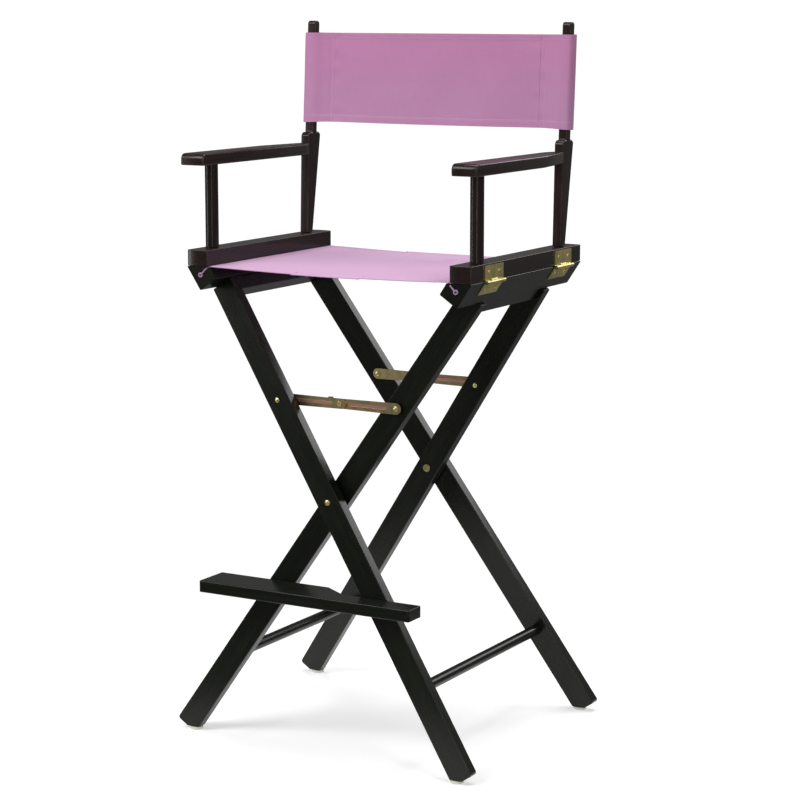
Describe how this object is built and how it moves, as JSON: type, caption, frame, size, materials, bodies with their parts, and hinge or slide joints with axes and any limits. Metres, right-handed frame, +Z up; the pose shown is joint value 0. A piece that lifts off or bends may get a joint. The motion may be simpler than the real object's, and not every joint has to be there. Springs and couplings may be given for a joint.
{
  "type": "director chair",
  "caption": "Tall folding director chair with crossed wooden legs, canvas seat and back, armrests, a stepped footrest and folding steel leg braces.",
  "frame": {"origin": "middle of the chair's outline, on the floor", "axes": "+Z up, +X to the sitter's left as seen from the front (viewer's right), the front faces -Y"},
  "size_m": [0.5628, 0.475, 1.156],
  "materials": {
    "black_wood": "black lacquer, semi-gloss",
    "canvas": "plain-weave cotton canvas, orchid",
    "yellow_zinc": "yellow passivated zinc plating",
    "brass": "dull brass plating",
    "pale_plastic": "moulded, matte"
  },
  "bodies": {
    "inner_frame": {"leg_inner_front": "black_wood", "leg_inner_rear": "black_wood", "seat_rail_right": "black_wood", "spacer_right": "black_wood", "stretcher_inner": "black_wood", "glide_inner_front": "pale_plastic", "glide_inner_rear": "pale_plastic", "dowel_right": "black_wood", "pivot_bolt_front": "brass", "pivot_bolt_rear": "brass", "pivot_bush_front": "yellow_zinc", "pivot_bush_rear": "yellow_zinc", "pivot_nut_front": "brass", "pivot_nut_rear": "brass", "brace_bolt_inner_front": "yellow_zinc", "brace_bolt_inner_rear": "yellow_zinc", "hinge_lower_right_front": "yellow_zinc", "hinge_lower_right_rear": "yellow_zinc", "footrest_peg": "yellow_zinc", "seat_canvas_right": "canvas"},
    "outer_frame": {"leg_outer_front": "black_wood", "leg_outer_rear": "black_wood", "seat_rail_left": "black_wood", "spacer_left": "black_wood", "stretcher_outer": "black_wood", "glide_outer_front": "pale_plastic", "glide_outer_rear": "pale_plastic", "dowel_left": "black_wood", "brace_bolt_outer_front": "yellow_zinc", "brace_bolt_outer_rear": "yellow_zinc", "hinge_lower_left_front": "yellow_zinc", "hinge_lower_left_rear": "yellow_zinc", "footrest_bolt": "brass", "seat_canvas_left": "canvas"},
    "arm_left": {"arm_base_left": "black_wood", "front_post_left": "black_wood", "armrest_left": "black_wood", "back_post_left": "black_wood", "hinge_upper_left_front": "yellow_zinc", "hinge_upper_left_rear": "yellow_zinc", "hinge_pin_left_front": "yellow_zinc", "hinge_pin_left_rear": "yellow_zinc", "back_canvas_left": "canvas"},
    "arm_right": {"arm_base_right": "black_wood", "front_post_right": "black_wood", "armrest_right": "black_wood", "back_post_right": "black_wood", "hinge_upper_right_front": "yellow_zinc", "hinge_upper_right_rear": "yellow_zinc", "hinge_pin_right_front": "yellow_zinc", "hinge_pin_right_rear": "yellow_zinc", "back_canvas_right": "canvas"},
    "link_left_front": {"brace_link_left_front": "yellow_zinc", "brace_rivet_front": "yellow_zinc"},
    "link_right_front": {"brace_link_right_front": "yellow_zinc"},
    "link_left_rear": {"brace_link_left_rear": "yellow_zinc", "brace_rivet_rear": "yellow_zinc"},
    "link_right_rear": {"brace_link_right_rear": "yellow_zinc"},
    "footrest": {"footrest": "black_wood"}
  },
  "joints": [
    {"name": "fold", "type": "hinge", "parent": "inner_frame", "child": "outer_frame", "pos_m": [0, 0.00554, 0.4076], "axis": [0, 1, 0], "range_deg": [0, 56], "deforming": ["seat_canvas_left", "seat_canvas_right", "back_canvas_left", "back_canvas_right"]},
    {"name": "arm_right_turn", "type": "hinge", "parent": "inner_frame", "child": "arm_right", "pos_m": [0.2615, 0.00554, 0.768], "axis": [0, 1, 0], "range_deg": [0, 28]},
    {"name": "arm_left_turn", "type": "hinge", "parent": "outer_frame", "child": "arm_left", "pos_m": [-0.2615, 0.00554, 0.768], "axis": [0, 1, 0], "range_deg": [-28, 0]},
    {"name": "link_left_front_turn", "type": "hinge", "parent": "outer_frame", "child": "link_left_front", "pos_m": [-0.10166, -0.14448, 0.56061], "axis": [0.0532, 0.9984, -0.0197], "range_deg": [-107.93, 0]},
    {"name": "link_right_front_turn", "type": "hinge", "parent": "inner_frame", "child": "link_right_front", "pos_m": [0.10166, -0.13456, 0.56061], "axis": [-0.0532, 0.9984, -0.0197], "range_deg": [0, 107.93]},
    {"name": "link_left_rear_turn", "type": "hinge", "parent": "outer_frame", "child": "link_left_rear", "pos_m": [-0.10166, 0.15555, 0.56061], "axis": [-0.0532, 0.9984, 0.0197], "range_deg": [-107.93, 0]},
    {"name": "link_right_rear_turn", "type": "hinge", "parent": "inner_frame", "child": "link_right_rear", "pos_m": [0.10166, 0.14563, 0.56061], "axis": [0.0532, 0.9984, 0.0197], "range_deg": [0, 107.93]},
    {"name": "footrest_turn", "type": "hinge", "parent": "outer_frame", "child": "footrest", "pos_m": [0.09906, -0.19951, 0.2585], "axis": [-0.0806, 0.9909, -0.1082], "range_deg": [0, 27.5]}
  ],
  "couplings": [
    {"joint": "arm_right_turn", "follows": "fold", "ratio": 0.5},
    {"joint": "arm_left_turn", "follows": "fold", "ratio": -0.5},
    {"joint": "link_left_front_turn", "follows": "fold", "ratio": -1.9272},
    {"joint": "link_right_front_turn", "follows": "fold", "ratio": 1.9272},
    {"joint": "link_left_rear_turn", "follows": "fold", "ratio": -1.9272},
    {"joint": "link_right_rear_turn", "follows": "fold", "ratio": 1.9272},
    {"joint": "footrest_turn", "follows": "fold", "ratio": 0.491}
  ]
}
